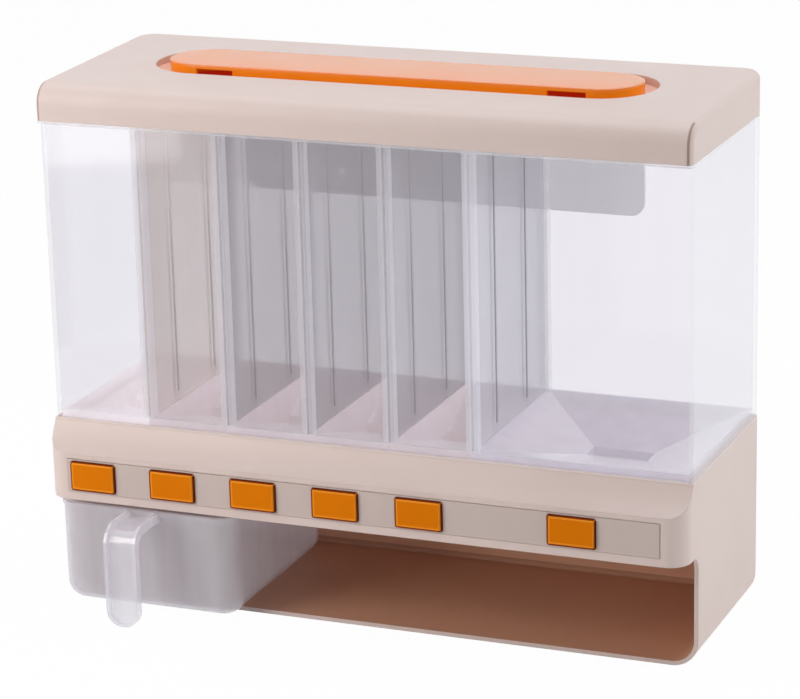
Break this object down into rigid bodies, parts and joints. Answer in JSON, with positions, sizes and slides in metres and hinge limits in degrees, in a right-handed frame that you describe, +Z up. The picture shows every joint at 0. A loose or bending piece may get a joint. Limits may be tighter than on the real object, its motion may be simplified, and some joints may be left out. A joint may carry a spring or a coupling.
{
  "type": "dry food container",
  "caption": "Clear dry food box divided into compartments, with a lift-off lid, push-button shutters in a coved band and an open bay for a scoop cup",
  "frame": {"origin": "on the underside, at the middle of the clear box's footprint", "axes": "+X to the right seen from the front, +Y to the back, +Z up"},
  "size_m": [0.3812, 0.1789, 0.3089],
  "materials": {
    "beige": "satin moulded ABS",
    "clear": "clear moulded polystyrene",
    "orange": "glossy moulded ABS",
    "white": "satin moulded polypropylene",
    "grey": "moulded plastic",
    "steel": "drawn spring wire"
  },
  "bodies": {
    "base": {"base_housing": "beige", "button_strip": "beige", "slide_tray": "white", "container": "clear", "wall_bracket": "grey", "divider_1": "clear", "divider_2": "clear", "divider_3": "clear", "divider_4": "clear", "divider_5": "clear", "hopper_1": "white", "hopper_2": "white", "hopper_3": "white", "hopper_4": "white", "hopper_5": "white", "hopper_6": "white", "spring_1": "steel", "spring_2": "steel", "spring_3": "steel", "spring_4": "steel", "spring_5": "steel", "spring_6": "steel"},
    "lid": {"lid": "beige", "lid_grip": "orange"},
    "cup": {"scoop_cup": "clear"},
    "button_1": {"button_1": "orange", "shutter_1": "white"},
    "button_2": {"button_2": "orange", "shutter_2": "white"},
    "button_3": {"button_3": "orange", "shutter_3": "white"},
    "button_4": {"button_4": "orange", "shutter_4": "white"},
    "button_5": {"button_5": "orange", "shutter_5": "white"},
    "button_6": {"button_6": "orange", "shutter_6": "white"}
  },
  "joints": [
    {"name": "lid_lift", "type": "slide", "parent": "base", "child": "lid", "axis": [0, 0, 1], "range_m": [0, 0.06]},
    {"name": "cup_slide", "type": "slide", "parent": "base", "child": "cup", "axis": [0, -1, 0], "range_m": [0, 0.16]},
    {"name": "push_1", "type": "slide", "parent": "base", "child": "button_1", "axis": [0, 1, 0], "range_m": [0, 0.0155], "stiffness_N_per_m": 150, "springref_m": -0.01, "deforming": ["spring_1"]},
    {"name": "push_2", "type": "slide", "parent": "base", "child": "button_2", "axis": [0, 1, 0], "range_m": [0, 0.0155], "stiffness_N_per_m": 150, "springref_m": -0.01, "deforming": ["spring_2"]},
    {"name": "push_3", "type": "slide", "parent": "base", "child": "button_3", "axis": [0, 1, 0], "range_m": [0, 0.0155], "stiffness_N_per_m": 150, "springref_m": -0.01, "deforming": ["spring_3"]},
    {"name": "push_4", "type": "slide", "parent": "base", "child": "button_4", "axis": [0, 1, 0], "range_m": [0, 0.0155], "stiffness_N_per_m": 150, "springref_m": -0.01, "deforming": ["spring_4"]},
    {"name": "push_5", "type": "slide", "parent": "base", "child": "button_5", "axis": [0, 1, 0], "range_m": [0, 0.0155], "stiffness_N_per_m": 150, "springref_m": -0.01, "deforming": ["spring_5"]},
    {"name": "push_6", "type": "slide", "parent": "base", "child": "button_6", "axis": [0, 1, 0], "range_m": [0, 0.0155], "stiffness_N_per_m": 150, "springref_m": -0.01, "deforming": ["spring_6"]}
  ]
}
